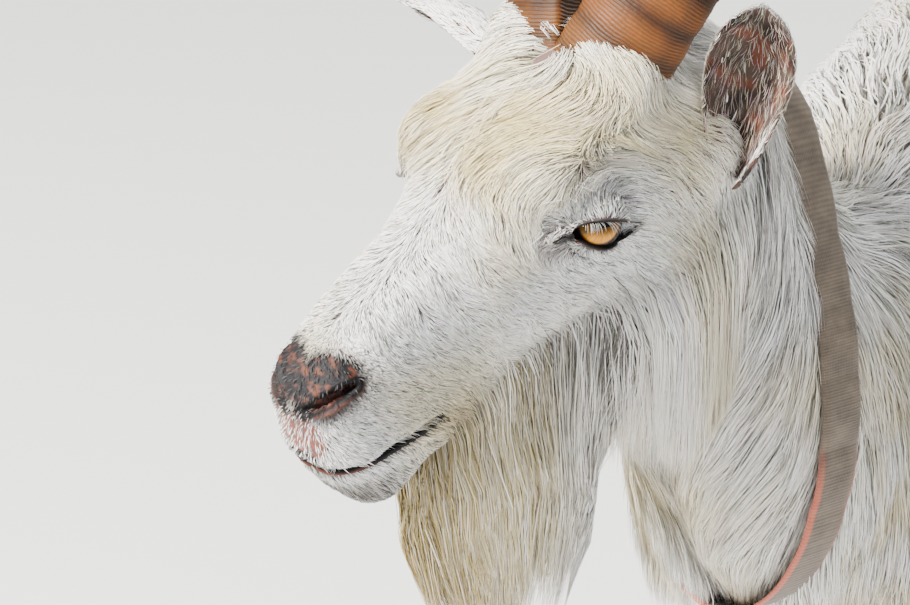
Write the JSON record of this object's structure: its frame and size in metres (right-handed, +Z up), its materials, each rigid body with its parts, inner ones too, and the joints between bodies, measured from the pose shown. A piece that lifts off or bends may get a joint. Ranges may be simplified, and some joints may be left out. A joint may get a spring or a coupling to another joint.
{
  "type": "standing goat, still model",
  "caption": "Life-size white bearded goat standing with its head turned and lowered, swept-back brown horns, hooves and a webbing collar.",
  "frame": {"origin": "on the floor, under the centre of the model's bounding box", "axes": "-Y forward, the way the trunk faces; +X to the goat's left; +Z up from the floor"},
  "size_m": [0.3898, 1.2662, 1.0299],
  "materials": {
    "white_coat": "matte hair",
    "cream_beard": "matte hair",
    "brown_horn": "satin, ringed horn",
    "amber_eye": "gloss",
    "dark_claw": "satin horn",
    "tan_webbing": "matte woven webbing"
  },
  "bodies": {
    "root": {"head": "white_coat", "neck": "white_coat", "trunk": "white_coat", "tail": "white_coat", "foreleg_left": "white_coat", "foreleg_right": "white_coat", "hindleg_left": "white_coat", "hindleg_right": "white_coat", "ear_left": "white_coat", "ear_right": "white_coat", "beard": "cream_beard", "horn_left": "brown_horn", "horn_right": "brown_horn", "eye_left": "amber_eye", "eye_right": "amber_eye", "collar": "tan_webbing", "claw_foreleg_left_outer": "dark_claw", "claw_foreleg_left_inner": "dark_claw", "claw_foreleg_right_outer": "dark_claw", "claw_foreleg_right_inner": "dark_claw", "claw_hindleg_left_outer": "dark_claw", "claw_hindleg_left_inner": "dark_claw", "claw_hindleg_right_outer": "dark_claw", "claw_hindleg_right_inner": "dark_claw"}
  },
  "joints": []
}
